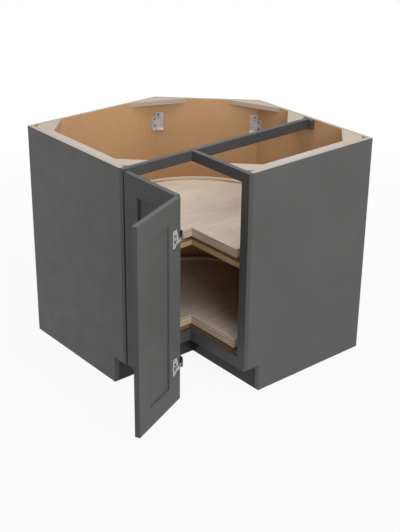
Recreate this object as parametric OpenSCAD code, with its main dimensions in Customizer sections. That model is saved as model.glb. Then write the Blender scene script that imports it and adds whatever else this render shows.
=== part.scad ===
// Corner carousel base cabinet. The front is an L: two faces at a right angle
// with a pair of folding doors that close into the inner corner. Inside, two
// trays with a quarter cut out turn on ball bearings, one on the deck and one
// on a fixed shelf. The doors are drawn open.
//
// The floor is z = 0 and the trays turn about the z axis. The pieces are laid
// out in the corner frame: x = 0 is the outside of the left end, y = 0 is the
// outside of the right end, and both room walls are at cab_w.

/* [Carcass] */
// Length of the cabinet along each wall
cab_w = 914.4; // [880:2:960]
// Height of the carcass, to the underside of the worktop
cab_h = 876.3; // [820:5:900]
// Depth of each end, from the wall to the face of the frame
end_depth = 609.6; // [600:2:640]
// How far the back corner is cut off along each wall
back_cut = 304.8; // [260:5:330]
// Thickness of the end panels
end_t = 19.05; // [16:0.5:21]
// Thickness of the back panels
back_t = 12.7; // [9:0.5:15]
// Thickness of the deck above the toe space
deck_t = 15.9; // [12:0.5:18]
// Thickness of the fixed shelf
shelf_t = 19.05; // [16:0.5:22]
// Height of the underside of the fixed shelf
shelf_z = 498.5; // [440:5:540]
// Depth of the grooves that hold the deck and shelf in the end panels
dado = 6.35; // [4:0.5:8]

/* [Face frame] */
// Width of the stiles and top rails
frame_w = 38.1; // [32:1:45]
// Height of the bottom rails, whose tops are level with the deck
bottom_rail_h = 44.45; // [38:0.5:50]
// Thickness of the stiles and rails
frame_t = 19.05; // [16:0.5:22]

/* [Toe space] */
// Height of the toe space
toe_h = 107.95; // [90:1:120]
// Depth of the toe space, from the face of the frame
toe_d = 76.2; // [60:1:85]
// Thickness of the toe boards
toe_t = 12.7; // [9:0.5:19]

/* [Top blocks] */
// Length of the short sides of the front gussets
front_leg = 108; // [90:1:120]
// Length of the short sides of the back gussets
back_leg = 125; // [100:1:135]
// How much of the square corner of a gusset is cut off
gusset_clip = 22; // [10:1:30]
// Thickness of the gussets and cleats
gusset_t = 18; // [12:1:19]
// Width of the cleats along the tops of the ends
cleat_w = 25; // [18:1:32]

/* [Trays] */
// Radius of the trays
tray_r = 373.5; // [360:0.5:378]
// Distance of the turning axis from the outside of each end
tray_axis = 430; // [426:1:434]
// Height of the strip round the trays
tray_h = 34.4; // [32:0.4:40]
// Thickness of the strip round the trays
strip_t = 12.7; // [10:0.5:15]
// Thickness of the tray boards
board_t = 19.05; // [16:0.5:20]
// How far the tray boards lie below the top of the strip
board_drop = 11; // [8:0.5:12]
// Gap under the strip
tray_gap = 19.05; // [16:0.5:22]
// Distance of the cut-out's sides behind the face of the frame
cut_back = 13.2; // [10:0.2:18]
// Radius of the cut-out's inner corner
cut_r = 3; // [2:0.5:20]

/* [Bearings] */
// Radius of the ring that the balls run on
race_r = 68; // [60:1:72]
// Radius of a ball
ball_r = 6; // [5:0.25:6.5]
// Number of balls in a bearing
balls = 18; // [12:1:22]
// Clearance of a ball in its groove
ball_gap = 0.25; // [0.2:0.05:0.4]

/* [Doors] */
// Thickness of a door leaf
leaf_t = 19; // [18:0.5:20]
// Height of a door leaf
leaf_h = 755.65; // [740:1:757]
// Height of the bottom of the leaves
leaf_z = 114.3; // [112:0.5:118]
// Gap between the back of a leaf and the frame
leaf_gap = 3; // [2.6:0.2:3.4]
// Reveal at the outer edges of the closed doors
leaf_reveal = 3; // [2.5:0.5:3.5]
// Half of the gap between the leaves at the fold
fold_gap = 1; // [0.8:0.1:1.5]
// Width of the frame members of a leaf
member_w = 76.2; // [60:1:80]
// Thickness of a door panel
panel_t = 6.35; // [5:0.25:7]
// Depth of a door panel below the front of its frame
panel_drop = 7.5; // [6:0.25:8]
// Depth of the panel grooves
groove_d = 9; // [7:0.5:10]
// Width of the bevel along the inner edges of a leaf's frame
bevel = 3; // [2:0.25:3.5]
// Angle by which the hinged leaf is drawn open
open_a = 90; // [60:1:100]
// Angle by which the second leaf is folded back from square
fold_a = 23; // [0:1:30]

/* [Hinges] */
// Distance of the door hinge pin from the edge of the leaf
pin_edge = 7; // [7:0.25:8]
// Distance of the door hinge pin from the back of the leaf
pin_back = 10; // [9.5:0.25:10.25]
// Distance of the door hinges from the ends of the leaf
hinge_end = 96; // [80:1:120]
// Distance of the fold hinges from the ends of the leaves
fold_end = 139.7; // [110:1:180]

/* [Hidden] */
$fn = 64;
// A cut runs this far past the face that it opens
cut = 1;

notch = cab_w - end_depth;
frame_back = notch + frame_t;
wall_in = cab_w - back_t;
cut_x = cab_w - back_cut;
inner_cut_x = cut_x - back_t * tan(22.5);
top_rail_z = cab_h - frame_w;
toe_face = notch + toe_d;
toe_back = toe_face + toe_t;

deck_top = toe_h + bottom_rail_h;
deck_z = deck_top - deck_t;
shelf_top = shelf_z + shelf_t;
side_cut = notch + cut_back - tray_axis;
bearing_h = tray_gap + tray_h - board_drop - board_t;
flange_t = 2;
flange_in = 45;
flange_out = 92;
race_w = 18;
race_gap = 2.4;
cage_w = 5;
cage_t = 1.2;

// A leaf's own frame: x runs along the leaf and y from its front to its back.
// The hinged leaf has its hinge pin at the origin, the second leaf has the
// front corner at the fold there.
pivot_x = leaf_reveal + pin_edge;
pivot_y = notch - leaf_gap - pin_back;
leaf_front = pin_back - leaf_t;
fold_x = notch - leaf_gap - leaf_t - pivot_x;
leaf_end = fold_x - fold_gap;
leaf_w = leaf_end + pin_edge;
groove_front = panel_drop;
groove_back = panel_drop + panel_t;

cup_r = 17.4;
cup_wall = 0.9;
cup_x = 18;
pin_r = 1.5;
pin_len = 18;
pin_play = 0.08;
knuckle_r = 3;
arm_t = 2.5;
arm_w = 12;
bend_r = 4;
plate_t = 2;
pocket_floor = -knuckle_r - 0.4;
cheek_in = 7;
cheek_out = 9.4;
door_hinges = [leaf_z + hinge_end, leaf_z + leaf_h - hinge_end];
fold_hinges = [leaf_z + fold_end, leaf_z + leaf_h - fold_end];
plate_len = 44;
flange_rise = 1.2;
flange_len = 60;
fold_plate_w = 36;
fold_plate_x = -50;
fold_plate_h = 46;

// The fold hinges on the second leaf's back, where x runs from the fold and
// z from the middle of the outer strap
fold_flange = [[54, 39], [27, 37], [21, 17], [13, -5], [41, -26], [54, -25]];
fold_window = [[30, -6], [46, 20]];
fold_screws = [[44, -16], [42, 31]];
fold_cup_x = 36;
fold_cup_z = 7;
fold_cup_h = 11;
fold_arm = [8, 38];
fold_arm_t = 3;
fold_arm_lift = 0.6;

// The straps about the fold: inner radius, and heights of both edges
strap_t = 2.6;
outer_strap_r = 24.1;
outer_strap_z = [-14, 14];
inner_strap_r = 20.5;
inner_strap_z = [-14, -1];

screw_r = 1.8;
head_r = 3.6;
head_h = 1.8;
screw_len = 14;

bracket_z = 750;
bracket_t = 2;
tall_leaf = [32, 65];
short_leaf = [22, 47];
// How far a bracket's lip runs inwards and down
bracket_lip = 8.5;
// The slot in a bracket's tall leaf, from its lower corner
bracket_slot = [[5, 41], [20, 44]];

paint = [0.31, 0.31, 0.30];
dark_paint = [0.20, 0.20, 0.20];
maple = [0.68, 0.52, 0.38];
pale_ply = [0.85, 0.80, 0.72];
tray_wood = [0.79, 0.71, 0.62];
nickel = [0.75, 0.75, 0.74];
steel = [0.66, 0.67, 0.68];

// ---- Frames of reference ----

// Puts children drawn in the corner frame about the trays' axis
module in_corner() {
    translate([-tray_axis, -tray_axis, 0]) children();
}

// Swaps the left half of the cabinet for the right half
module other_hand() {
    mirror([1, -1, 0]) children();
}

// Places children drawn in the hinged leaf's frame
module on_hinged_leaf() {
    in_corner() translate([pivot_x, pivot_y, 0]) rotate(-open_a) children();
}

// Places children drawn in the second leaf's frame
module on_second_leaf() {
    on_hinged_leaf() translate([fold_x, leaf_front, 0])
        rotate(fold_a - 90) children();
}

module block(from, to) {
    translate(from) cube(to - from);
}

// ---- Screws ----

// A countersunk screw whose head lies flush at z = 0 and points down
module screw() {
    translate([0, 0, -head_h]) cylinder(h = head_h, r1 = screw_r, r2 = head_r);
    translate([0, 0, -screw_len]) cylinder(h = screw_len, r = screw_r);
}

// Screws through a plate on a face that looks along +y, at heights zs
module screws_y(x, y, zs) {
    for (z = zs) translate([x, y, z]) rotate([-90, 0, 0]) screw();
}

// ---- Carcass ----

// The floor plan inside the carcass, from the back of the face frame
module inside_plan(side) {
    polygon([[side, frame_back], [frame_back, frame_back],
        [frame_back, side], [wall_in, side], [wall_in, inner_cut_x],
        [inner_cut_x, wall_in], [side, wall_in]]);
}

module shelf_board(z, t) {
    translate([0, 0, z]) linear_extrude(t) inside_plan(end_t - dado);
}

// The deck and shelf as they sit in an end panel, to cut its grooves
module dadoes() {
    for (s = [[deck_z, deck_t], [shelf_z, shelf_t]])
        block([end_t - dado, frame_back - cut, s[0]],
            [end_t + cut, wall_in, s[0] + s[1]]);
}

module end_panel() {
    difference() {
        block([0, frame_back, 0], [end_t, cab_w, cab_h]);
        block([-cut, frame_back - cut, -cut], [end_t + cut, toe_face, toe_h]);
        dadoes();
    }
}

module left_end_panel() { color(paint) in_corner() end_panel(); }
module right_end_panel() {
    color(paint) in_corner() other_hand() end_panel();
}

module back_panel() {
    difference() {
        linear_extrude(cab_h) polygon([[end_t, wall_in],
            [inner_cut_x, wall_in], [cut_x, cab_w], [end_t, cab_w]]);
        corner_screws();
    }
}

module left_back_panel() { color(maple) in_corner() back_panel(); }
module right_back_panel() {
    color(maple) in_corner() other_hand() back_panel();
}

module diagonal_back_panel() {
    color(maple) in_corner() difference() {
        linear_extrude(cab_h) polygon([[inner_cut_x, wall_in],
            [wall_in, inner_cut_x], [cab_w, cut_x], [cut_x, cab_w]]);
        corner_screws();
        other_hand() corner_screws();
    }
}

module deck() { color(maple) in_corner() shelf_board(deck_z, deck_t); }
module fixed_shelf() {
    color(maple) in_corner() shelf_board(shelf_z, shelf_t);
}

// ---- Face frame ----

// The left stile, with the screw holes of the hinge plates in its inner edge
module stile(with_hinges) {
    difference() {
        block([0, notch, toe_h], [frame_w, frame_back, cab_h]);
        if (with_hinges) plate_screws();
    }
}

module left_stile() { color(paint) in_corner() stile(true); }
module right_stile() { color(paint) in_corner() other_hand() stile(false); }

// The top rail of the left face runs on across the cabinet to the right wall
module long_top_rail() {
    color(paint) in_corner()
        block([frame_w, notch, top_rail_z], [wall_in, frame_back, cab_h]);
}

module right_top_rail() {
    color(paint) in_corner()
        block([notch, frame_w, top_rail_z], [frame_back, notch, cab_h]);
}

module left_bottom_rail() {
    color(paint) in_corner() block([frame_w, notch, toe_h],
        [frame_back, frame_back, deck_top]);
}

module right_bottom_rail() {
    color(paint) in_corner() block([notch, frame_w, toe_h],
        [frame_back, notch, deck_top]);
}

// ---- Toe space ----

module left_toe_board() {
    color(dark_paint) in_corner()
        block([end_t, toe_face, 0], [toe_back, toe_back, deck_z]);
}

module right_toe_board() {
    color(dark_paint) in_corner()
        block([toe_face, end_t, 0], [toe_back, toe_face, deck_z]);
}

// A board on edge under the deck, from the toe boards' corner to the diagonal
// back. It carries the middle of the deck under the trays' axis.
module deck_support() {
    along = sqrt(2);
    start = toe_back * along;
    stop = (wall_in + inner_cut_x) / along;
    color(maple) in_corner() rotate(45)
        block([start, -end_t / 2, 0], [stop, end_t / 2, deck_z]);
}

// ---- Gussets, cleats and brackets at the top ----

// A right-angled gusset with its square corner at the origin and cut off
module gusset(leg) {
    translate([0, 0, cab_h - gusset_t]) linear_extrude(gusset_t)
        polygon([[gusset_clip, 0], [leg, 0], [0, leg], [0, gusset_clip]]);
}

module front_gusset() {
    translate([end_t, frame_back, 0]) gusset(front_leg);
}

module rear_gusset() {
    translate([end_t, wall_in, 0]) mirror([0, 1, 0]) gusset(back_leg);
}

// Fits the blunt corner between a back panel and the diagonal
module corner_gusset() {
    translate([inner_cut_x, wall_in, cab_h - gusset_t])
        linear_extrude(gusset_t) polygon([[0, 0], [-back_leg, 0],
            [back_leg / sqrt(2), -back_leg / sqrt(2)]]);
}

module left_front_gusset() { color(pale_ply) in_corner() front_gusset(); }
module right_front_gusset() {
    color(pale_ply) in_corner() other_hand() front_gusset();
}
module left_back_gusset() { color(pale_ply) in_corner() rear_gusset(); }
module right_back_gusset() {
    color(pale_ply) in_corner() other_hand() rear_gusset();
}
module left_corner_gusset() { color(pale_ply) in_corner() corner_gusset(); }
module right_corner_gusset() {
    color(pale_ply) in_corner() other_hand() corner_gusset();
}

// Braces the far end of the long rail against the right back panel
module rail_gusset() {
    color(pale_ply) in_corner() translate([wall_in, frame_back, 0])
        mirror([1, 0, 0]) gusset(front_leg);
}

// Its ends are cut to the long sides of the gussets
module top_cleat() {
    front = frame_back + front_leg;
    back = wall_in - back_leg;
    translate([end_t, 0, cab_h - gusset_t]) linear_extrude(gusset_t)
        polygon([[0, front], [cleat_w, front - cleat_w],
            [cleat_w, back + cleat_w], [0, back]]);
}

module left_cleat() { color(pale_ply) in_corner() top_cleat(); }
module right_cleat() { color(pale_ply) in_corner() other_hand() top_cleat(); }

// Carries the far end of the long rail on the right back panel
module rail_end_block() {
    color(paint) in_corner() block([wall_in - frame_t, notch - frame_t,
        top_rail_z], [wall_in, notch, cab_h]);
}

// A bracket's screws on the diagonal and on the back panel, where x runs from
// the corner
tall_screws = [[11, bracket_z + 56]];
short_screws = [[9, bracket_z + 8], [9, bracket_z + 37]];

// Turns to the diagonal: x runs along it from the corner and y points inwards
module on_diagonal() {
    translate([inner_cut_x, wall_in, 0]) rotate(-45)
        mirror([0, 1, 0]) children();
}

// Turns to the back panel: x runs along it from the corner, y points inwards
module on_back() {
    translate([inner_cut_x, wall_in, 0]) rotate(180) children();
}

module corner_screws() {
    on_diagonal() for (s = tall_screws) screws_y(s[0], bracket_t, [s[1]]);
    on_back() for (s = short_screws) screws_y(s[0], bracket_t, [s[1]]);
}

// One leaf of a bracket, with a lip that runs inwards and down from its foot
module bracket_leaf(size) {
    block([0, 0, bracket_z], [size[0], bracket_t, bracket_z + size[1]]);
    translate([bracket_lip / 2, 0, bracket_z]) rotate([90, 0, 90])
        linear_extrude(size[0] - bracket_lip / 2)
            polygon([[0, 1], [bracket_t, 1], [bracket_t, 0],
                [bracket_t + bracket_lip, -bracket_lip],
                [bracket_lip, -bracket_lip], [0, 0]]);
}

// A stepped steel angle: a tall leaf on the diagonal, a short one on the back
// panel, joined at the corner over the short leaf's height
module corner_bracket() {
    difference() {
        union() {
            on_diagonal() bracket_leaf(tall_leaf);
            on_back() bracket_leaf(short_leaf);
        }
        corner_screws();
        on_diagonal()
            block([bracket_slot[0][0], -cut, bracket_z + bracket_slot[0][1]],
                [bracket_slot[1][0], bracket_t + cut,
                    bracket_z + bracket_slot[1][1]]);
    }
}

module left_corner_bracket() { color(steel) in_corner() corner_bracket(); }
module right_corner_bracket() {
    color(steel) in_corner() other_hand() corner_bracket();
}

module bracket_screws() {
    color(steel) in_corner() {
        corner_screws();
        other_hand() corner_screws();
    }
}

// ---- Door hinges ----

// The screws of the plates on the left stile's inner edge
module plate_screws() {
    for (z = door_hinges, side = [-1, 1])
        translate([frame_w + plate_t, (notch + frame_back) / 2,
            z + side * plate_len * 0.36]) rotate([0, 90, 0]) screw();
}

// A flat arm that reaches round the stile and into the leaf, where its knuckle
// turns on the pin. Seen from above, it is an L with a round bend.
module arm_plan(reach, rise) {
    half = arm_t / 2;
    difference() {
        union() {
            circle(r = knuckle_r);
            translate([0, -half]) square([reach - bend_r, arm_t]);
            translate([reach - arm_t, bend_r - half])
                square([arm_t, rise - bend_r + half]);
            intersection() {
                translate([reach - bend_r, bend_r - half]) difference() {
                    circle(r = bend_r);
                    circle(r = bend_r - arm_t);
                }
                translate([reach - bend_r, -half]) square(bend_r);
            }
        }
        circle(r = pin_r + pin_play);
    }
}

module frame_hinge_arms() {
    reach = frame_w + plate_t + arm_t - pivot_x;
    rise = frame_back - 4 - pivot_y;
    color(nickel) in_corner() difference() {
        for (z = door_hinges) {
            block([frame_w, notch + 0.6, z - plate_len / 2],
                [frame_w + plate_t, frame_back - 0.6, z + plate_len / 2]);
            translate([pivot_x, pivot_y, z - arm_w / 2])
                linear_extrude(arm_w) arm_plan(reach, rise);
        }
        plate_screws();
    }
}

module frame_hinge_screws() { color(steel) in_corner() plate_screws(); }

// The space of a cup and its cheeks in the back of the leaf, grown by extra
module cup_space(depth, extra) {
    translate([cup_x, pin_back + cut, 0]) rotate([90, 0, 0])
        cylinder(h = pin_back + cut - depth, r = cup_r + extra);
    block([-pin_edge - cut, depth, -cheek_out - extra],
        [cup_x, pin_back + cut, cheek_out + extra]);
}

// What the arm sweeps inside the cup
module cup_hollow() {
    translate([cup_x, pin_back + 2 * cut, 0]) rotate([90, 0, 0])
        cylinder(h = pin_back + 2 * cut - pocket_floor, r = cup_r - cup_wall);
    block([-pin_edge - 2 * cut, pocket_floor, -cheek_in],
        [cup_x, pin_back + 2 * cut, cheek_in]);
}

module cup_flange_screws() {
    screws_y(cup_x, pin_back + flange_rise, [-24, 24]);
}

// A steel cup let into the leaf, with cheeks that hold the pin and a flange
module hinge_cup() {
    difference() {
        union() {
            intersection() {
                cup_space(pocket_floor - cup_wall, 0);
                block([-pin_edge + 0.2, -leaf_t, -leaf_t],
                    [leaf_w, pin_back, leaf_t]);
            }
            block([cup_x - 9, pin_back, -flange_len / 2],
                [cup_x + 9, pin_back + flange_rise, flange_len / 2]);
        }
        cup_hollow();
        translate([0, 0, -pin_len / 2]) cylinder(h = pin_len, r = pin_r);
        cup_flange_screws();
    }
}

module door_hinge_cups() {
    color(nickel) on_hinged_leaf()
        for (z = door_hinges) translate([0, 0, z]) hinge_cup();
}

module door_hinge_pins() {
    color(steel) on_hinged_leaf() for (z = door_hinges)
        translate([0, 0, z - pin_len / 2]) cylinder(h = pin_len, r = pin_r);
}

module door_hinge_screws() {
    color(steel) on_hinged_leaf()
        for (z = door_hinges) translate([0, 0, z]) cup_flange_screws();
}

// ---- Fold hinges ----

// A curved strap about the fold line, from angle a to angle b
module strap(r, heights, a, b) {
    steps = 8;
    far = 2 * (r + strap_t);
    translate([0, 0, heights[0]]) linear_extrude(heights[1] - heights[0])
        intersection() {
            difference() {
                circle(r = r + strap_t);
                circle(r = r);
            }
            polygon(concat([[0, 0]], [for (i = [0:steps])
                let (t = a + (b - a) * i / steps)
                    [far * cos(t), far * sin(t)]]));
        }
}

module fold_plate_holes() {
    screws_y(fold_plate_x + fold_plate_w / 2, leaf_t + flange_rise, [-15, 15]);
}

// On the hinged leaf: a plate behind the stile and the outer strap
module fold_plate() {
    difference() {
        union() {
            block([fold_plate_x, leaf_t, -fold_plate_h / 2],
                [fold_plate_x + fold_plate_w, leaf_t + flange_rise,
                    fold_plate_h / 2]);
            difference() {
                strap(outer_strap_r, outer_strap_z, 22, 150);
                block([-leaf_w, -leaf_w, -leaf_t], [0, leaf_t, leaf_t]);
            }
        }
        fold_plate_holes();
    }
}

// Turns from the hinged leaf's pin to the front corner at the fold
module at_fold() {
    on_hinged_leaf() translate([fold_x, leaf_front, 0]) children();
}

module fold_hinge_plates() {
    color(nickel) at_fold()
        for (z = fold_hinges) translate([0, 0, z]) fold_plate();
}

module fold_plate_screws() {
    color(steel) at_fold()
        for (z = fold_hinges) translate([0, 0, z]) fold_plate_holes();
}

module fold_cup_holes() {
    for (s = fold_screws) screws_y(s[0], leaf_t + flange_rise, [s[1]]);
}

// The round pocket of a fold hinge's cup in the second leaf
module fold_cup_space(extra) {
    translate([fold_cup_x, leaf_t, fold_cup_z]) rotate([90, 0, 0])
        cylinder(h = fold_cup_h + extra, r = cup_r + extra);
}

// The cup and its flange, with a window through which the cup is seen
module fold_cup_body() {
    difference() {
        union() {
            fold_cup_space(0);
            translate([0, leaf_t + flange_rise, 0]) rotate([90, 0, 0])
                linear_extrude(flange_rise) polygon(fold_flange);
        }
        translate([fold_cup_x, leaf_t, fold_cup_z]) rotate([90, 0, 0])
            cylinder(h = fold_cup_h - cup_wall, r = cup_r - cup_wall);
        block([fold_window[0][0], leaf_t - cut, fold_window[0][1]],
            [fold_window[1][0], leaf_t + flange_rise + cut,
                fold_window[1][1]]);
    }
}

// On the second leaf: the cup, and an arm with the inner strap at its end
module fold_cup() {
    difference() {
        union() {
            fold_cup_body();
            block([fold_arm[0], leaf_t + fold_arm_lift, inner_strap_z[0]],
                [fold_arm[1], leaf_t + fold_arm_lift + fold_arm_t,
                    inner_strap_z[1]]);
            difference() {
                strap(inner_strap_r, inner_strap_z, 36, 118);
                block([0, 0, -leaf_t], [leaf_w, leaf_t, leaf_t]);
            }
        }
        fold_cup_holes();
    }
}

module fold_hinge_cups() {
    color(nickel) on_second_leaf()
        for (z = fold_hinges) translate([0, 0, z]) fold_cup();
}

module fold_cup_screws() {
    color(steel) on_second_leaf()
        for (z = fold_hinges) translate([0, 0, z]) fold_cup_holes();
}

// ---- Door leaves ----

// The moulded inner edge of a stile at x, seen from above. It is also the
// shape of a rail's end, which fits it. way is 1 where the panel lies at +x.
function edge(x, way) = [[x - way * bevel, 0], [x, bevel],
    [x, groove_front], [x - way * groove_d, groove_front],
    [x - way * groove_d, groove_back], [x, groove_back],
    [x, leaf_t - bevel], [x - way * bevel, leaf_t]];

function backwards(list) = [for (i = [len(list) - 1:-1:0]) list[i]];

// The stile at the low-x side of a leaf whose front lower corner is the origin
module low_stile() {
    linear_extrude(leaf_h) polygon(concat([[0, 0]],
        edge(member_w, 1), [[0, leaf_t]]));
}

module high_stile() {
    translate([leaf_w, 0, 0]) mirror([1, 0, 0]) low_stile();
}

// A rail along the bottom of a leaf, with its groove and bevels on top
module low_rail() {
    far = leaf_w - member_w;
    length = leaf_w + 2 * cut;
    difference() {
        linear_extrude(member_w) polygon(concat(
            edge(member_w, 1), backwards(edge(far, -1))));
        block([-cut, groove_front, member_w - groove_d],
            [leaf_w + cut, groove_back, member_w + cut]);
        for (side = [0, 1]) translate([-cut, side * leaf_t, member_w])
            rotate([90, 0, 90]) linear_extrude(length)
                polygon([[0, -bevel], [bevel, 0], [0, bevel], [-bevel, 0]]);
    }
}

module high_rail() {
    translate([0, 0, leaf_h]) mirror([0, 0, 1]) low_rail();
}

module panel() {
    edge_in = member_w - groove_d + 1;
    block([edge_in, groove_front, edge_in],
        [leaf_w - edge_in, groove_back, leaf_h - edge_in]);
}

// Moves from a leaf's frame to its front lower corner
module hinged_corner() {
    translate([-pin_edge, leaf_front, leaf_z]) children();
}
module second_corner() { translate([fold_gap, 0, leaf_z]) children(); }

module hinged_leaf_hinge_stile() {
    color(paint) on_hinged_leaf() difference() {
        hinged_corner() low_stile();
        for (z = door_hinges) translate([0, 0, z]) {
            cup_space(pocket_floor - cup_wall, 0.1);
            cup_flange_screws();
        }
    }
}

module hinged_leaf_fold_stile() {
    color(paint) on_hinged_leaf() difference() {
        hinged_corner() high_stile();
        for (z = fold_hinges) translate([fold_x, leaf_front, z])
            fold_plate_holes();
    }
}

module hinged_leaf_top_rail() {
    color(paint) on_hinged_leaf() hinged_corner() high_rail();
}
module hinged_leaf_bottom_rail() {
    color(paint) on_hinged_leaf() hinged_corner() low_rail();
}
module hinged_leaf_panel() {
    color(paint) on_hinged_leaf() hinged_corner() panel();
}

module second_leaf_fold_stile() {
    color(paint) on_second_leaf() difference() {
        second_corner() low_stile();
        for (z = fold_hinges) translate([0, 0, z]) {
            fold_cup_space(0.1);
            fold_cup_holes();
        }
    }
}

module second_leaf_free_stile() {
    color(paint) on_second_leaf() second_corner() high_stile();
}
module second_leaf_top_rail() {
    color(paint) on_second_leaf() second_corner() high_rail();
}
module second_leaf_bottom_rail() {
    color(paint) on_second_leaf() second_corner() low_rail();
}
module second_leaf_panel() {
    color(paint) on_second_leaf() second_corner() panel();
}

// ---- Bearings ----

// Half of a ball bearing as a ring: a flange and a race with a round groove
// for the balls. It lies on z = 0 and the balls' centres are at half height.
module bearing_half() {
    race_h = bearing_h / 2 - race_gap / 2;
    rotate_extrude() difference() {
        union() {
            translate([flange_in, 0])
                square([flange_out - flange_in, flange_t]);
            translate([race_r - race_w / 2, 0]) square([race_w, race_h]);
        }
        translate([race_r, bearing_h / 2]) circle(r = ball_r + ball_gap);
    }
}

module bearing_base(z) { translate([0, 0, z]) bearing_half(); }
module bearing_top(z) {
    translate([0, 0, z + bearing_h]) mirror([0, 0, 1]) bearing_half();
}

// The balls, held apart by a thin ring
module bearing_balls(z) {
    translate([0, 0, z + bearing_h / 2]) {
        for (i = [0:balls - 1]) rotate(i * 360 / balls)
            translate([race_r, 0, 0]) sphere(r = ball_r);
        translate([0, 0, -cage_t / 2]) rotate_extrude()
            translate([race_r - cage_w / 2, 0]) square([cage_w, cage_t]);
    }
}

module lower_bearing_base() { color(steel) bearing_base(deck_top); }
module lower_bearing_balls() { color(nickel) bearing_balls(deck_top); }
module lower_bearing_top() { color(steel) bearing_top(deck_top); }
module upper_bearing_base() { color(steel) bearing_base(shelf_top); }
module upper_bearing_balls() { color(nickel) bearing_balls(shelf_top); }
module upper_bearing_top() { color(steel) bearing_top(shelf_top); }

// ---- Trays ----

// The quarter that is cut out of a tray, grown by grow, with a round corner
module cut_out(grow) {
    far = 2 * tray_r;
    side = side_cut + grow;
    centre = side_cut - cut_r;
    translate([-far, -far]) square([far + side, far + centre]);
    translate([-far, -far]) square([far + centre, far + side]);
    translate([centre, centre]) circle(r = cut_r + grow);
}

module tray_board(z) {
    translate([0, 0, z + tray_h - board_drop - board_t])
        linear_extrude(board_t) difference() {
            circle(r = tray_r - strip_t, $fn = 180);
            cut_out(strip_t);
        }
}

// The bent strip round the back of a tray
module tray_rim(z) {
    translate([0, 0, z]) linear_extrude(tray_h) difference() {
        circle(r = tray_r, $fn = 180);
        circle(r = tray_r - strip_t, $fn = 180);
        cut_out(strip_t);
    }
}

// The strip along the two straight sides of the cut-out
module tray_fence(z) {
    translate([0, 0, z]) linear_extrude(tray_h) intersection() {
        circle(r = tray_r, $fn = 180);
        difference() {
            cut_out(strip_t);
            cut_out(0);
        }
    }
}

module lower_tray_board() { color(tray_wood) tray_board(deck_top + tray_gap); }
module lower_tray_rim() { color(tray_wood) tray_rim(deck_top + tray_gap); }
module lower_tray_fence() { color(tray_wood) tray_fence(deck_top + tray_gap); }
module upper_tray_board() {
    color(tray_wood) tray_board(shelf_top + tray_gap);
}
module upper_tray_rim() { color(tray_wood) tray_rim(shelf_top + tray_gap); }
module upper_tray_fence() {
    color(tray_wood) tray_fence(shelf_top + tray_gap);
}

left_end_panel();
right_end_panel();
left_back_panel();
right_back_panel();
diagonal_back_panel();
deck();
fixed_shelf();
left_stile();
right_stile();
long_top_rail();
right_top_rail();
left_bottom_rail();
right_bottom_rail();
left_toe_board();
right_toe_board();
deck_support();
left_cleat();
right_cleat();
left_front_gusset();
right_front_gusset();
left_back_gusset();
right_back_gusset();
left_corner_gusset();
right_corner_gusset();
rail_gusset();
rail_end_block();
left_corner_bracket();
right_corner_bracket();
bracket_screws();
frame_hinge_arms();
frame_hinge_screws();
hinged_leaf_hinge_stile();
hinged_leaf_fold_stile();
hinged_leaf_top_rail();
hinged_leaf_bottom_rail();
hinged_leaf_panel();
door_hinge_cups();
door_hinge_pins();
door_hinge_screws();
fold_hinge_plates();
fold_plate_screws();
second_leaf_fold_stile();
second_leaf_free_stile();
second_leaf_top_rail();
second_leaf_bottom_rail();
second_leaf_panel();
fold_hinge_cups();
fold_cup_screws();
lower_bearing_base();
lower_bearing_balls();
lower_bearing_top();
lower_tray_board();
lower_tray_rim();
lower_tray_fence();
upper_bearing_base();
upper_bearing_balls();
upper_bearing_top();
upper_tray_board();
upper_tray_rim();
upper_tray_fence();
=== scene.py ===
import math

import bmesh
import bpy
from mathutils import Matrix, Vector


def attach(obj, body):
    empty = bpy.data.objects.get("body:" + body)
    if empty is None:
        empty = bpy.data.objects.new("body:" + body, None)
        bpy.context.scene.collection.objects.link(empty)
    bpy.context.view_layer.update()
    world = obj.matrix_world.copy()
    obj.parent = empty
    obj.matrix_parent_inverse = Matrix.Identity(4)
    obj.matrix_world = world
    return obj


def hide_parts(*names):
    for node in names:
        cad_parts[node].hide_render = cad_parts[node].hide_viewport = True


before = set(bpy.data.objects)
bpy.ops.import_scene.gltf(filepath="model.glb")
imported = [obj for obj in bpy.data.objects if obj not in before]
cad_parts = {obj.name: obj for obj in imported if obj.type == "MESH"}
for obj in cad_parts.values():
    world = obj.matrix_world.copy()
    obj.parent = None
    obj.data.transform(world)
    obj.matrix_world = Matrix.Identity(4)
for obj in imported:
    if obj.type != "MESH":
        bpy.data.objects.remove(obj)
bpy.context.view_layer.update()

MM = 0.001

# Places from the cabinet's source, in metres from the trays' axis
TRAY_RADIUS = 0.3735
TRAY_SIDE = -0.112
TRAY_CORNER = 0.003
BASE_FLANGE_TOPS = (0.1544, 0.51955)
FLANGE_SCREW_RADIUS = 0.085
FLANGE_SCREWS = 8

# The photograph's view, solved from the cabinet's own edges: places in
# metres, turns in degrees, lens and sensor in millimetres
CAMERA_PLACE = (-2.45213, -2.93414, 2.16720)
CAMERA_TURN = (65.428, 0.0, -38.623)
CAMERA_LENS = 73.40
CAMERA_SENSOR = 36.0
CAMERA_SHIFT = (0.0495, -0.0353)
CAMERA_NEAR = 0.05

# The floor lies just under the cabinet and reaches FLOOR_REACH each way. The
# camera sees it as plain white past the second distance of WHITE_REACH, and
# up to the first one as NEAR_WHITE of that, so that the shadow is left
FLOOR_REACH = 30.0
FLOOR_DROP = 0.5 * MM
FLOOR_GREY = (0.60, 0.60, 0.60, 1)
NEAR_WHITE = 0.92
WHITE_REACH = (1.0, 2.8)
WHITE = (1, 1, 1, 1)

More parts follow.
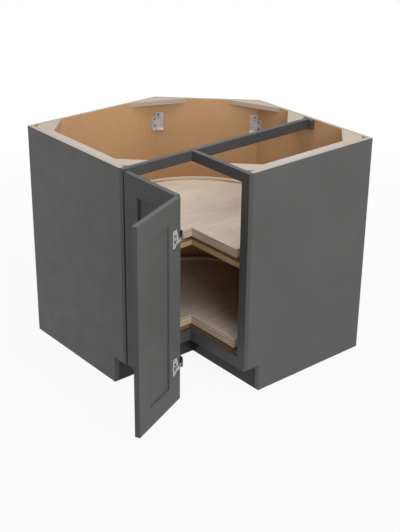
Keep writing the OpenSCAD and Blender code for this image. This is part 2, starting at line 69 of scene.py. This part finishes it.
# The even light, and each lamp's name, place, size and power in watts
EVEN_LIGHT = 0.28
LAMPS = (("key", (-0.9, -3.8, 2.4), 2.6, 84.0),
         ("top", (-0.2, -0.3, 3.6), 2.6, 66.0),
         ("front", (-1.9, -3.2, 1.5), 1.6, 12.0))
LAMP_TARGET = (0.0, 0.0, 0.45)

UP = (0, 0, 1)
# Each part of a unit step at 45 degrees
SLANT = math.sqrt(0.5)

# Thickness of a layer in the boards, the end panels and the trays' strips
BOARD_PLY = 2.1 * MM
END_PLY = 3.8 * MM
STRIP_PLY = 1.6 * MM
# Depth of the fine relief of wood, paint and metal
WOOD_RELIEF = 0.05 * MM
PAINT_RELIEF = 0.03 * MM
METAL_RELIEF = 0.01 * MM
# Least and most roughness of satin paint and of veneer
PAINT_ROUGH = (0.40, 0.50)
WOOD_ROUGH = (0.40, 0.55)


# ---- Camera, floor and light ----

def add_camera():
    data = bpy.data.cameras.new("camera")
    data.sensor_width = CAMERA_SENSOR
    data.lens = CAMERA_LENS
    data.shift_x, data.shift_y = CAMERA_SHIFT
    data.clip_start = CAMERA_NEAR
    camera = bpy.data.objects.new("camera", data)
    camera.location = CAMERA_PLACE
    camera.rotation_euler = [math.radians(turn) for turn in CAMERA_TURN]
    bpy.context.scene.collection.objects.link(camera)
    bpy.context.scene.camera = camera


class Graph:
    """Adds nodes to one tree and wires their inputs as they are made."""

    def __init__(self, tree):
        self.tree = tree

    def add(self, kind, inputs=None, **settings):
        node = self.tree.nodes.new(kind)
        for name, value in settings.items():
            setattr(node, name, value)
        for key, value in (inputs or {}).items():
            self.wire(node.inputs[key], value)
        return node

    def wire(self, socket, value):
        if isinstance(value, bpy.types.NodeSocket):
            self.tree.links.new(value, socket)
        else:
            socket.default_value = value

    def math(self, operation, *values, clamp=False):
        node = self.add("ShaderNodeMath", operation=operation, use_clamp=clamp)
        for socket, value in zip(node.inputs, values):
            self.wire(socket, value)
        return node.outputs[0]

    def vector(self, operation, *values):
        node = self.add("ShaderNodeVectorMath", operation=operation)
        for socket, value in zip(node.inputs, values):
            self.wire(socket, value)
        return node.outputs["Value" if operation in ("DOT_PRODUCT", "LENGTH")
                            else "Vector"]

    def blend(self, share, first, second):
        """Mixes two colours."""
        node = self.add("ShaderNodeMix", data_type="RGBA")
        self.wire(node.inputs[0], share)
        self.wire(node.inputs[6], first)
        self.wire(node.inputs[7], second)
        return node.outputs[2]

    def mix(self, share, first, second):
        """Mixes two numbers."""
        return self.add("ShaderNodeMix", {0: share, 2: first, 3: second},
                        data_type="FLOAT").outputs[0]

    def ramp(self, value, low, high, bottom=0.0, top=1.0):
        """Maps a value smoothly from low..high to bottom..top."""
        node = self.add("ShaderNodeMapRange", interpolation_type="SMOOTHSTEP")
        for key, number in (("Value", value), ("From Min", low),
                            ("From Max", high), ("To Min", bottom),
                            ("To Max", top)):
            self.wire(node.inputs[key], number)
        return node.outputs["Result"]

    def noise(self, vector, scale, detail=2.0, roughness=0.5):
        node = self.add("ShaderNodeTexNoise", {
            "Vector": vector, "Scale": scale, "Detail": detail,
            "Roughness": roughness})
        return node.outputs[0]


def seen_share(g):
    """1 for what the camera sees, also in a mirror or through glass."""
    rays = g.add("ShaderNodeLightPath").outputs
    return g.math("MAXIMUM", rays["Is Camera Ray"],
                  g.math("MAXIMUM", rays["Is Glossy Ray"],
                         rays["Is Transmission Ray"]))


def add_stage():
    """A pale floor that stays white to the camera and keeps a soft shadow."""
    floor_mesh = bpy.data.meshes.new("floor")
    shape = bmesh.new()
    bmesh.ops.create_grid(shape, x_segments=1, y_segments=1,
                          size=FLOOR_REACH)
    shape.to_mesh(floor_mesh)
    shape.free()
    floor_mesh.transform(Matrix.Translation((0, 0, -FLOOR_DROP)))
    floor = bpy.data.objects.new("floor", floor_mesh)
    bpy.context.scene.collection.objects.link(floor)
    material = bpy.data.materials.new("pale_floor")
    material.use_nodes = True
    tree = material.node_tree
    tree.nodes.clear()
    g = Graph(tree)
    lit = g.add("ShaderNodeBsdfDiffuse", {"Color": FLOOR_GREY})
    glow = g.add("ShaderNodeEmission", {"Color": WHITE, "Strength": 1.0})
    place = g.add("ShaderNodeTexCoord").outputs["Object"]
    share = g.math("MULTIPLY", seen_share(g), g.ramp(
        g.vector("LENGTH", place), *WHITE_REACH, NEAR_WHITE, 1.0))
    both = g.add("ShaderNodeMixShader", {0: share, 1: lit.outputs[0],
                                         2: glow.outputs[0]})
    g.add("ShaderNodeOutputMaterial", {"Surface": both.outputs[0]})
    floor_mesh.materials.append(material)


def add_light():
    """A white studio: even light from all round and three soft lamps."""
    world = bpy.data.worlds.new("studio")
    bpy.context.scene.world = world
    world.use_nodes = True
    tree = world.node_tree
    tree.nodes.clear()
    g = Graph(tree)
    soft = g.add("ShaderNodeBackground", {"Color": WHITE,
                                          "Strength": EVEN_LIGHT})
    white = g.add("ShaderNodeBackground", {"Color": WHITE, "Strength": 1.0})
    both = g.add("ShaderNodeMixShader", {
        0: seen_share(g), 1: soft.outputs[0], 2: white.outputs[0]})
    g.add("ShaderNodeOutputWorld", {"Surface": both.outputs[0]})
    for name, place, size, power in LAMPS:
        data = bpy.data.lights.new(name, "AREA")
        data.shape = "DISK"
        data.size = size
        data.energy = power
        lamp = bpy.data.objects.new(name, data)
        lamp.location = place
        aim = Vector(LAMP_TARGET) - Vector(place)
        lamp.rotation_euler = aim.to_track_quat("-Z", "Y").to_euler()
        bpy.context.scene.collection.objects.link(lamp)


# ---- Effects that the materials share ----

def new_group(name, inputs, outputs):
    """An empty shader node group with named vector and float sockets."""
    group = bpy.data.node_groups.new(name, "ShaderNodeTree")
    kinds = {"v": "NodeSocketVector", "f": "NodeSocketFloat"}
    for socket, kind in inputs:
        group.interface.new_socket(socket, in_out="INPUT",
                                   socket_type=kinds[kind])
    for socket, kind in outputs:
        group.interface.new_socket(socket, in_out="OUTPUT",
                                   socket_type=kinds[kind])
    g = Graph(group)
    return group, g, g.add("NodeGroupInput").outputs, g.add("NodeGroupOutput")


def wood_figure_group():
    """Veneer figure: broad rings, fine fibres and short pores along x.

    Each pattern is noise that is drawn out along the grain."""
    ring_stretch = (1.1, 7.0, 7.0)
    fibre_stretch = (0.035, 1.0, 1.0)
    pore_stretch = (0.09, 1.0, 1.0)
    patch_stretch = (0.5, 1.0, 1.0)
    ring_density, ring_turns = 0.12, 46.0
    pore_density, pore_edge = 0.8, (0.64, 0.74)
    patch_density = 5.0
    group, g, given, out = new_group(
        "wood_figure",
        [("Along grain", "v"), ("Ring size", "f"), ("Fibre size", "f")],
        [("Rings", "f"), ("Fibres", "f"), ("Pores", "f"), ("Patches", "f")])
    place = given["Along grain"]
    slow = g.vector("MULTIPLY", place, ring_stretch)
    warp = g.noise(slow, g.math("DIVIDE", ring_density, given["Ring size"]),
                   roughness=0.45)
    turns = g.math("MULTIPLY", warp, ring_turns)
    rings = g.math("ADD", g.math("MULTIPLY", g.math("SINE", turns), 0.5), 0.5)
    streak = g.vector("MULTIPLY", place, fibre_stretch)
    fibres = g.noise(streak, g.math("DIVIDE", 1.0, given["Fibre size"]),
                     detail=3.0, roughness=0.6)
    pore = g.vector("MULTIPLY", place, pore_stretch)
    specks = g.noise(pore, g.math("DIVIDE", pore_density,
                                  given["Fibre size"]), detail=1.0)
    pores = g.ramp(specks, *pore_edge)
    patches = g.noise(g.vector("MULTIPLY", place, patch_stretch),
                      patch_density)
    for socket, value in (("Rings", rings), ("Fibres", fibres),
                          ("Pores", pores), ("Patches", patches)):
        g.wire(out.inputs[socket], value)
    return group


def ply_edge_group():
    """The layers that show on a board's sawn edge, across its thickness."""
    wander_density, wander_reach = 70.0, 0.25 * MM
    fuzz_density, glue_edge = 900.0, (0.40, 0.49)
    group, g, given, out = new_group(
        "ply_edge", [("Across", "f"), ("Layer", "f"), ("Place", "v")],
        [("Cross layer", "f"), ("Glue line", "f"), ("Fuzz", "f")])
    wander = g.noise(given["Place"], wander_density)
    across = g.math("ADD", given["Across"], g.math(
        "MULTIPLY", g.math("SUBTRACT", wander, 0.5), wander_reach))
    count = g.math("DIVIDE", across, given["Layer"])
    near = g.math("ABSOLUTE", g.math("SUBTRACT", g.math("FRACT", count), 0.5))
    pair = g.math("FRACT", g.math("MULTIPLY", count, 0.5))
    g.wire(out.inputs["Cross layer"], g.math("GREATER_THAN", pair, 0.5))
    g.wire(out.inputs["Glue line"], g.ramp(near, *glue_edge))
    g.wire(out.inputs["Fuzz"], g.noise(given["Place"], fuzz_density))
    return group


def side_group():
    """Tells a board's faces from its edges by the way the surface points.

    facing is the cosine past which a surface counts as pointing that way."""
    facing = 0.6
    group, g, given, out = new_group(
        "board_side", [("Normal", "v"), ("Through", "v")],
        [("Front face", "f"), ("Edge", "f"), ("Top edge", "f")])
    towards = g.vector("DOT_PRODUCT", given["Normal"], given["Through"])
    g.wire(out.inputs["Front face"], g.math("GREATER_THAN", towards, facing))
    g.wire(out.inputs["Top edge"], g.math("GREATER_THAN", g.vector(
        "DOT_PRODUCT", given["Normal"], UP), facing))
    g.wire(out.inputs["Edge"], g.math(
        "LESS_THAN", g.math("ABSOLUTE", towards), facing))
    return group


def worn_arris_group():
    """Finds the arrises by how far the surface turns in a rounded copy."""
    wear_density, wear_edge = 38.0, (0.42, 0.66)
    bend = (0.02, 0.16)
    group, g, given, out = new_group(
        "worn_arris", [("Normal", "v"), ("Rounded", "v"), ("Place", "v")],
        [("Worn", "f")])
    turn = g.math("SUBTRACT", 1.0, g.vector(
        "DOT_PRODUCT", given["Normal"], given["Rounded"]))
    patchy = g.ramp(g.noise(given["Place"], wear_density, detail=3.0),
                    *wear_edge)
    g.wire(out.inputs["Worn"], g.math(
        "MULTIPLY", g.ramp(turn, *bend), patchy))
    return group


def brushed_group():
    """Fine scratches and soft clouds in plated or rolled metal."""
    cloud_density = 55.0
    group, g, given, out = new_group(
        "brushed_metal", [("Place", "v"), ("Stroke", "v")],
        [("Scratches", "f"), ("Clouds", "f")])
    along = g.vector("MULTIPLY", given["Place"], given["Stroke"])
    g.wire(out.inputs["Scratches"],
           g.noise(along, 1.0, detail=3.0, roughness=0.65))
    g.wire(out.inputs["Clouds"],
           g.noise(given["Place"], cloud_density, detail=3.0))
    return group


GROUPS = {"wood_figure": wood_figure_group(), "ply_edge": ply_edge_group(),
          "board_side": side_group(), "worn_arris": worn_arris_group(),
          "brushed_metal": brushed_group()}


def use(g, name, inputs):
    """Places a shared effect in a material."""
    node = g.add("ShaderNodeGroup", node_tree=GROUPS[name])
    for key, value in inputs.items():
        g.wire(node.inputs[key], value)
    return node.outputs


def new_material(name, base, metallic=0.0, specular=0.5):
    """A material with its graph, its shader and the texture coordinates."""
    material = bpy.data.materials.new(name)
    material.use_nodes = True
    tree = material.node_tree
    tree.nodes.clear()
    g = Graph(tree)
    shader = g.add("ShaderNodeBsdfPrincipled", {
        "Base Color": base, "Metallic": metallic,
        "Specular IOR Level": specular})
    g.add("ShaderNodeOutputMaterial", {"Surface": shader.outputs[0]})
    return material, g, shader, g.add("ShaderNodeTexCoord").outputs


def finish_surface(g, shader, colour, roughness, height, distance,
                   rounded=None):
    """Wires the shader, with a bump over the plain or the rounded surface."""
    bump = g.add("ShaderNodeBump", {"Strength": 1.0, "Distance": distance,
                                    "Height": height})
    if rounded:
        g.wire(bump.inputs["Normal"], rounded)
    g.wire(shader.inputs["Base Color"], colour)
    g.wire(shader.inputs["Roughness"], roughness)
    g.wire(shader.inputs["Normal"], bump.outputs[0])


# ---- Colours, as linear values ----

PAINT = (0.078, 0.078, 0.076, 1)
PAINT_DEEP = (0.068, 0.068, 0.066, 1)
PAINT_WORN = (0.135, 0.133, 0.128, 1)
# Painted shade: the toe boards take the frame's grey paint at about half its
# brightness, which stands for the shade in the recess under the cabinet
TOE_SHADED_PAINT = (0.040, 0.040, 0.039, 1)
TOE_SHADED_DEEP = (0.030, 0.030, 0.029, 1)
SHELF_BAND = (0.46, 0.290, 0.140, 1)
NICKEL = (0.51, 0.505, 0.495, 1)
NICKEL_DULL = (0.37, 0.365, 0.355, 1)
ZINC = (0.56, 0.57, 0.58, 1)
ZINC_DULL = (0.42, 0.43, 0.45, 1)
BRACKET = (0.55, 0.55, 0.56, 1)
BRACKET_DULL = (0.44, 0.44, 0.45, 1)
BLACKED = (0.045, 0.040, 0.038, 1)
BLACKED_DULL = (0.025, 0.022, 0.021, 1)

# Veneers, as their light wood, dark wood and pores
MAPLE = ((0.54, 0.332, 0.168, 1), (0.47, 0.277, 0.134, 1),
         (0.36, 0.200, 0.100, 1))
PALE = ((0.46, 0.390, 0.315, 1), (0.40, 0.325, 0.250, 1),
        (0.33, 0.255, 0.190, 1))
CLEAT = ((0.47, 0.420, 0.375, 1), (0.41, 0.355, 0.305, 1),
         (0.34, 0.280, 0.230, 1))
TRAY = ((0.64, 0.565, 0.485, 1), (0.51, 0.410, 0.335, 1),
        (0.44, 0.350, 0.275, 1))
STRIP = ((0.64, 0.520, 0.410, 1), (0.38, 0.285, 0.215, 1),
         (0.26, 0.185, 0.135, 1))

# Plywood edges, as their long layers, cross layers and glue lines
PLIES = ((0.52, 0.41, 0.29, 1), (0.36, 0.255, 0.165, 1),
         (0.18, 0.115, 0.065, 1))
PALE_PLIES = ((0.50, 0.440, 0.380, 1), (0.36, 0.295, 0.235, 1),
              (0.22, 0.165, 0.120, 1))


# ---- Finishes ----

def turned(g, place, grain):
    """Turns the place so that the grain runs along x.

    A level grain runs round a strip, whichever way the strip faces."""
    if grain == "level":
        drawn_out = 0.15
        return g.add("ShaderNodeCombineXYZ", {
            "X": g.vector("DOT_PRODUCT", place, (drawn_out, -drawn_out, 0)),
            "Z": g.vector("DOT_PRODUCT", place, UP)}).outputs[0]
    turns = {"x": (0, 0, 0), "y": (0, 0, math.radians(-90)),
             "z": (0, math.radians(90), 0),
             "diagonal": (0, 0, math.radians(45))}
    return g.add("ShaderNodeMapping", {"Vector": place,
                                       "Rotation": turns[grain]}).outputs[0]


def paint_layers(g, place, colour, deep):
    """Satin paint: sprayed texture, faint clouds and thin arrises."""
    arris, wear = 1.2 * MM, 0.45
    cloud_density, gloss_density, peel_density = 3.2, 14.0, 520.0
    rounded = g.add("ShaderNodeBevel", {"Radius": arris}, samples=4)
    facing = g.add("ShaderNodeNewGeometry").outputs["Normal"]
    worn = use(g, "worn_arris", {"Normal": facing, "Place": place,
                                 "Rounded": rounded.outputs[0]})["Worn"]
    clouds = g.noise(place, cloud_density, detail=3.0, roughness=0.55)
    base = g.blend(g.ramp(clouds, 0.3, 0.7), colour, deep)
    base = g.blend(g.math("MULTIPLY", worn, wear), base, PAINT_WORN)
    peel = g.noise(place, peel_density)
    rough = g.ramp(g.noise(place, gloss_density, detail=3.0), 0.25, 0.75,
                   *PAINT_ROUGH)
    return base, rough, peel, rounded.outputs[0]


def painted(name, colour=PAINT, deep=PAINT_DEEP):
    """Wood that is painted all over."""
    material, g, shader, where = new_material(name, colour, specular=0.22)
    base, rough, peel, rounded = paint_layers(g, where["Object"], colour, deep)
    finish_surface(g, shader, base, rough, peel, PAINT_RELIEF, rounded)
    return material


def veneer_layers(g, place, grain, tones, ring=30 * MM, fibre=1.4 * MM,
                  figure=0.3, cloud=0.5):
    """Colour, roughness and height of a veneered face.

    figure is how strongly the rings, fibres and pores show, and cloud how
    strongly the broad darker patches do."""
    ring_share, fibre_share, pore_share = 0.45, 0.55, 0.30
    light, dark, pore = tones
    wood = use(g, "wood_figure", {"Along grain": turned(g, place, grain),
                                  "Ring size": ring, "Fibre size": fibre})
    lines = g.math("ADD", g.math("MULTIPLY", wood["Rings"], ring_share),
                   g.math("MULTIPLY", wood["Fibres"], fibre_share))
    colour = g.blend(g.ramp(lines, 0.25, 0.8, 0.0, figure), light, dark)
    patch = g.ramp(wood["Patches"], 0.35, 0.7, 0.0, cloud)
    colour = g.blend(patch, colour, dark)
    colour = g.blend(g.math("MULTIPLY", wood["Pores"], pore_share * figure),
                     colour, pore)
    rough = g.ramp(wood["Fibres"], 0.2, 0.8, *WOOD_ROUGH)
    height = g.math("SUBTRACT", wood["Fibres"], wood["Pores"])
    return colour, rough, height


def edge_layers(g, place, across, layer, plies):
    """Colour of a plywood edge whose layers lie across the thickness."""
    fuzz_share, glue_share = 0.35, 0.8
    core, cross, glue = plies
    ply = use(g, "ply_edge", {"Across": across, "Layer": layer,
                              "Place": place})
    colour = g.blend(ply["Cross layer"], core, cross)
    colour = g.blend(g.math("MULTIPLY", ply["Fuzz"], fuzz_share), colour, core)
    return g.blend(g.math("MULTIPLY", ply["Glue line"], glue_share), colour,
                   glue)


def board(name, tones, grain, through, layer=BOARD_PLY, plies=PLIES,
          paint_front=False, band=None, **veneer):
    """A plywood board: veneer on its faces and layers on its edges.

    through points out of the board's painted or front face, and band is the
    colour of a thin band over its edges. Paint covers that face and every
    edge but the top one."""
    band_cover, edge_rougher = 0.75, 0.15
    material, g, shader, where = new_material(name, tones[0])
    place = where["Object"]
    side = use(g, "board_side", {"Normal": where["Normal"],
                                 "Through": through})
    colour, rough, height = veneer_layers(g, place, grain, tones, **veneer)
    across = g.vector("DOT_PRODUCT", place, through)
    edge = edge_layers(g, place, across, layer, plies)
    if band:
        edge = g.blend(band_cover, edge, band)
    colour = g.blend(side["Edge"], colour, edge)
    rough = g.math("ADD", rough, g.math("MULTIPLY", side["Edge"],
                                        edge_rougher))
    if paint_front:
        base, paint_rough, peel = paint_layers(g, place, PAINT,
                                               PAINT_DEEP)[:3]
        low_edge = g.math("SUBTRACT", side["Edge"], side["Top edge"],
                          clamp=True)
        front = g.math("MAXIMUM", side["Front face"], low_edge)
        colour = g.blend(front, colour, base)
        rough = g.mix(front, rough, paint_rough)
        height = g.mix(front, height, peel)
    finish_surface(g, shader, colour, rough, height, WOOD_RELIEF)
    return material


def bent_strip(name, centre, radius):
    """A tray's strip of thin layers that follow its curve or its corner.

    The layers lie round the trays' axis, or round centre where it is given."""
    material, g, shader, where = new_material(name, TRAY[0])
    place = where["Object"]
    flat = g.vector("MULTIPLY", place, (1, 1, 0))
    if centre:
        out = g.vector("MAXIMUM", g.vector("SUBTRACT", flat, centre),
                       (0, 0, 0))
    else:
        out = flat
    across = g.math("SUBTRACT", g.vector("LENGTH", out), radius)
    side = use(g, "board_side", {"Normal": where["Normal"], "Through": UP})
    veneer, rough, height = veneer_layers(
        g, place, "level", STRIP, ring=18 * MM, fibre=2.2 * MM, figure=1.0)
    layers = edge_layers(g, place, across, STRIP_PLY, TRAY)
    colour = g.blend(side["Edge"], layers, veneer)
    finish_surface(g, shader, colour, rough, height, WOOD_RELIEF)
    return material


def metal(name, bright, dull, stroke, low=0.24, high=0.40, metallic=1.0):
    """Plated steel with cloudy patches and fine scratches.

    stroke is how dense the scratches are each way, and the roughness runs
    from low to high."""
    material, g, shader, where = new_material(name, bright, metallic)
    marks = use(g, "brushed_metal", {"Place": where["Object"],
                                     "Stroke": stroke})
    colour = g.blend(g.ramp(marks["Clouds"], 0.35, 0.7), bright, dull)
    rough = g.ramp(marks["Scratches"], 0.3, 0.7, low, high)
    finish_surface(g, shader, colour, rough, marks["Scratches"], METAL_RELIEF)
    return material


def dress(material, *nodes):
    """Gives CAD nodes a finish."""
    for name in nodes:
        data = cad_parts[name].data
        data.materials.clear()
        data.materials.append(material)


def dress_carcass():
    dress(painted("frame_paint"), "left_stile", "right_stile",
          "long_top_rail", "right_top_rail", "left_bottom_rail",
          "right_bottom_rail", "rail_end_block")
    # The toe boards' darker paint is painted shade for the toe recess
    dress(painted("toe_paint", TOE_SHADED_PAINT, TOE_SHADED_DEEP), "left_toe_board",
          "right_toe_board")
    for side, outwards in (("left", (-1, 0, 0)), ("right", (0, -1, 0))):
        dress(board(f"{side}_end_board", MAPLE, "z", outwards, END_PLY,
                    PALE_PLIES, paint_front=True), f"{side}_end_panel")
    for side, outwards in (("left", (0, 1, 0)), ("right", (1, 0, 0)),
                           ("diagonal", (SLANT, SLANT, 0))):
        dress(board(f"{side}_back_board", MAPLE, "z", outwards),
              f"{side}_back_panel")
    dress(board("support_board", MAPLE, "diagonal", (SLANT, -SLANT, 0)),
          "deck_support")
    dress(board("deck_board", MAPLE, "y", UP), "deck")
    dress(board("shelf_board", MAPLE, "y", UP, band=SHELF_BAND),
          "fixed_shelf")
    dress(board("pale_blocks", PALE, "y", UP, plies=PALE_PLIES),
          "left_front_gusset", "left_back_gusset", "left_corner_gusset",
          "rail_gusset")
    dress(board("pale_cross_blocks", PALE, "x", UP, plies=PALE_PLIES),
          "right_front_gusset", "right_back_gusset", "right_corner_gusset")
    for side, grain in (("left", "y"), ("right", "x")):
        dress(board(f"{side}_cleat_board", CLEAT, grain, UP,
                    plies=PALE_PLIES), f"{side}_cleat")
    dress(metal("bracket_zinc", BRACKET, BRACKET_DULL, (70.0, 70.0, 700.0),
                low=0.50, high=0.66, metallic=0.35),
          "left_corner_bracket", "right_corner_bracket")
    dress(metal("zinc_plate", ZINC, ZINC_DULL, (60.0, 900.0, 60.0)),
          "lower_bearing_base", "upper_bearing_base", "door_hinge_pins")


def dress_doors():
    paint = painted("door_paint")
    for leaf, first, last in (("hinged_leaf", "hinge", "fold"),
                              ("second_leaf", "fold", "free")):
        dress(paint, f"{leaf}_{first}_stile", f"{leaf}_{last}_stile",
              f"{leaf}_top_rail", f"{leaf}_bottom_rail", f"{leaf}_panel")
    nickel = metal("nickel_plate", NICKEL, NICKEL_DULL, (900.0, 900.0, 70.0),
                   low=0.18, high=0.34)
    dress(nickel, "frame_hinge_arms", "door_hinge_cups", "fold_hinge_plates",
          "fold_hinge_cups", "lower_bearing_balls", "upper_bearing_balls")


def dress_trays():
    boards = board("tray_board", TRAY, "x", UP, ring=60 * MM, figure=0.45,
                   cloud=1.0)
    corner = TRAY_SIDE - TRAY_CORNER
    rim = bent_strip("tray_rim", None, TRAY_RADIUS)
    fence = bent_strip("tray_fence", (corner, corner, 0), TRAY_CORNER)
    steel = metal("bearing_steel", ZINC, ZINC_DULL, (300.0, 300.0, 300.0))
    for level in ("lower", "upper"):
        dress(boards, f"{level}_tray_board")
        dress(rim, f"{level}_tray_rim")
        dress(fence, f"{level}_tray_fence")
        dress(steel, f"{level}_bearing_top")


# ---- Screws ----

# What a screw measures, by the name of its input
SCREW_SIZES = (("Head radius", 3.6 * MM), ("Head height", 1.8 * MM),
               ("Proud", 0.25 * MM), ("Shank radius", 1.8 * MM),
               ("Length", 13.9 * MM), ("Slot width", 0.9 * MM),
               ("Slot length", 4.4 * MM), ("Slot depth", 1.3 * MM))
HEAD_SIDES = 24
SHANK_SIDES = 16
# Points of a plain screw that are one corner, and how near its end a point
# counts as part of that end
SAME_POINT = 0.001 * MM
END_REACH = 2.2 * MM


def screw_tree():
    """Countersunk cross-head screws, one on each point, turned at random."""
    tree = bpy.data.node_groups.new("cross_head_screws", "GeometryNodeTree")
    tree.interface.new_socket("Places", in_out="INPUT",
                              socket_type="NodeSocketGeometry")
    for name, size in SCREW_SIZES:
        socket = tree.interface.new_socket(name, in_out="INPUT",
                                           socket_type="NodeSocketFloat")
        socket.default_value = size
    tree.interface.new_socket("Seed", in_out="INPUT",
                              socket_type="NodeSocketInt")
    tree.interface.new_socket("Finish", in_out="INPUT",
                              socket_type="NodeSocketMaterial")
    tree.interface.new_socket("Screws", in_out="OUTPUT",
                              socket_type="NodeSocketGeometry")
    g = Graph(tree)
    given = g.add("NodeGroupInput").outputs
    out = g.add("NodeGroupOutput")
    height = g.math("ADD", given["Head height"], given["Proud"])
    head = g.add("GeometryNodeMeshCone", {
        "Vertices": HEAD_SIDES, "Radius Top": given["Head radius"],
        "Radius Bottom": given["Shank radius"], "Depth": height})
    low = g.add("ShaderNodeCombineXYZ", {"Z": g.math(
        "MULTIPLY", given["Head height"], -1.0)})
    head = g.add("GeometryNodeTransform", {
        "Geometry": head.outputs[0], "Translation": low.outputs[0]})
    # Two crossed bars, half of each above the head, cut the cross into it
    depth = g.math("MULTIPLY", given["Slot depth"], 2.0)
    cuts = g.add("GeometryNodeJoinGeometry")
    for x, y in (("Slot length", "Slot width"), ("Slot width", "Slot length")):
        size = g.add("ShaderNodeCombineXYZ", {"X": given[x], "Y": given[y],
                                              "Z": depth})
        bar = g.add("GeometryNodeMeshCube", {"Size": size.outputs[0]})
        tree.links.new(bar.outputs[0], cuts.inputs[0])
    lift = g.add("ShaderNodeCombineXYZ", {"Z": given["Proud"]})
    cross = g.add("GeometryNodeTransform", {
        "Geometry": cuts.outputs[0], "Translation": lift.outputs[0]})
    cut = g.add("GeometryNodeMeshBoolean", operation="DIFFERENCE")
    tree.links.new(head.outputs[0], cut.inputs["Mesh 1"])
    tree.links.new(cross.outputs[0], cut.inputs["Mesh 2"])
    shank = g.add("GeometryNodeMeshCylinder", {
        "Vertices": SHANK_SIDES, "Radius": given["Shank radius"],
        "Depth": g.math("SUBTRACT", given["Length"], given["Head height"])})
    middle = g.add("ShaderNodeCombineXYZ", {"Z": g.math("MULTIPLY", g.math(
        "ADD", given["Length"], given["Head height"]), -0.5)})
    shank = g.add("GeometryNodeTransform", {
        "Geometry": shank.outputs[0], "Translation": middle.outputs[0]})
    screw = g.add("GeometryNodeJoinGeometry")
    tree.links.new(cut.outputs[0], screw.inputs[0])
    tree.links.new(shank.outputs[0], screw.inputs[0])
    facing = g.add("GeometryNodeInputNamedAttribute", {"Name": "facing"},
                   data_type="FLOAT_VECTOR")
    upright = g.add("FunctionNodeAlignRotationToVector", {
        "Vector": facing.outputs[0]}, axis="Z")
    chance = g.add("FunctionNodeRandomValue", {2: 0.0, 3: math.pi},
                   data_type="FLOAT")
    g.wire(chance.inputs["Seed"], given["Seed"])
    spin = g.add("ShaderNodeCombineXYZ", {"Z": chance.outputs[1]})
    spin = g.add("FunctionNodeEulerToRotation", {"Euler": spin.outputs[0]})
    turn = g.add("FunctionNodeRotateRotation", {
        "Rotation": upright.outputs[0], "Rotate By": spin.outputs[0]},
        rotation_space="LOCAL")
    placed = g.add("GeometryNodeInstanceOnPoints", {
        "Points": given["Places"], "Instance": screw.outputs[0],
        "Rotation": turn.outputs[0]})
    real = g.add("GeometryNodeRealizeInstances", {
        "Geometry": placed.outputs[0]})
    done = g.add("GeometryNodeSetMaterial", {
        "Geometry": real.outputs[0], "Material": given["Finish"]})
    g.wire(out.inputs["Screws"], done.outputs[0])
    return tree


def screw_places(*nodes):
    """Where the source's plain screws sit, and which way their heads face."""
    places = []
    for name in nodes:
        shape = bmesh.new()
        shape.from_mesh(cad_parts[name].data)
        bmesh.ops.remove_doubles(shape, verts=shape.verts, dist=SAME_POINT)
        left = set(shape.verts)
        # In the mesh's own order, so that each run gives the same screws
        for first in shape.verts:
            if first not in left:
                continue
            left.discard(first)
            island, edge = [], [first]
            while edge:
                vert = edge.pop()
                island.append(vert)
                for link in vert.link_edges:
                    other = link.other_vert(vert)
                    if other in left:
                        left.discard(other)
                        edge.append(other)
            places.append(screw_place([vert.co.copy() for vert in island]))
        shape.free()
    return places


def screw_place(points):
    """The middle of the head of one plain screw, and its outward axis.

    The head is the wider of the screw's two ends."""
    far = max(((a - b).length, i, j) for i, a in enumerate(points)
              for j, b in enumerate(points) if i < j)
    rough = (points[far[1]] - points[far[2]]).normalized()
    ends = []
    for way in (1, -1):
        reach = max(way * rough.dot(point) for point in points)
        close = [point for point in points
                 if way * rough.dot(point) > reach - END_REACH]
        middle = sum(close, Vector()) / len(close)
        width = max((point - middle).length for point in close)
        ends.append((width, way, middle))
    middle, other = max(ends)[2], min(ends)[2]
    axis = (middle - other).normalized()
    reach = max(axis.dot(point - middle) for point in points)
    return middle + axis * reach, axis


def fit_screws(name, tree, finish, body, places, nodes, seed):
    """Makes one body's screws and puts them in the place of the plain ones."""
    mesh = bpy.data.meshes.new(f"{name}_places")
    mesh.from_pydata([place for place, facing in places], [], [])
    facing = mesh.attributes.new("facing", "FLOAT_VECTOR", "POINT")
    facing.data.foreach_set("vector", [
        number for place, axis in places for number in axis])
    holder = bpy.data.objects.new(f"{name}_places", mesh)
    bpy.context.scene.collection.objects.link(holder)
    modifier = holder.modifiers.new("screws", "NODES")
    modifier.node_group = tree
    sockets = {item.name: item.identifier
               for item in tree.interface.items_tree}
    modifier[sockets["Seed"]] = seed
    modifier[sockets["Finish"]] = finish
    graph = bpy.context.evaluated_depsgraph_get()
    made = bpy.data.meshes.new_from_object(holder.evaluated_get(graph))
    holder.modifiers.clear()
    bpy.data.objects.remove(holder)
    piece = bpy.data.objects.new(name, made)
    bpy.context.scene.collection.objects.link(piece)
    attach(piece, body)
    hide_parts(*nodes)


def flange_screws():
    """The screws through the flange of each bearing's lower ring."""
    step = 2 * math.pi / FLANGE_SCREWS
    return [(Vector((FLANGE_SCREW_RADIUS * math.cos(step * i),
                     FLANGE_SCREW_RADIUS * math.sin(step * i), top)),
             Vector(UP))
            for top in BASE_FLANGE_TOPS for i in range(FLANGE_SCREWS)]


def add_screws():
    bright = metal("screw_steel", ZINC, ZINC_DULL, (400.0, 400.0, 400.0))
    black = metal("black_screw_steel", BLACKED, BLACKED_DULL,
                  (400.0, 400.0, 400.0), low=0.35, high=0.55, metallic=0.6)
    tree = screw_tree()
    for name, finish, body, nodes, extra, seed in (
            ("black_bracket_screws", black, "carcass", ("bracket_screws",),
             [], 3),
            ("carcass_screws", bright, "carcass", ("frame_hinge_screws",),
             flange_screws(), 4),
            ("hinged_leaf_screws", bright, "hinged_leaf",
             ("door_hinge_screws", "fold_plate_screws"), [], 5),
            ("second_leaf_screws", bright, "second_leaf",
             ("fold_cup_screws",), [], 8)):
        fit_screws(name, tree, finish, body, screw_places(*nodes) + extra,
                   nodes, seed)


bpy.context.scene.view_settings.view_transform = "Standard"
add_camera()
add_stage()
add_light()
dress_carcass()
dress_doors()
dress_trays()
add_screws()
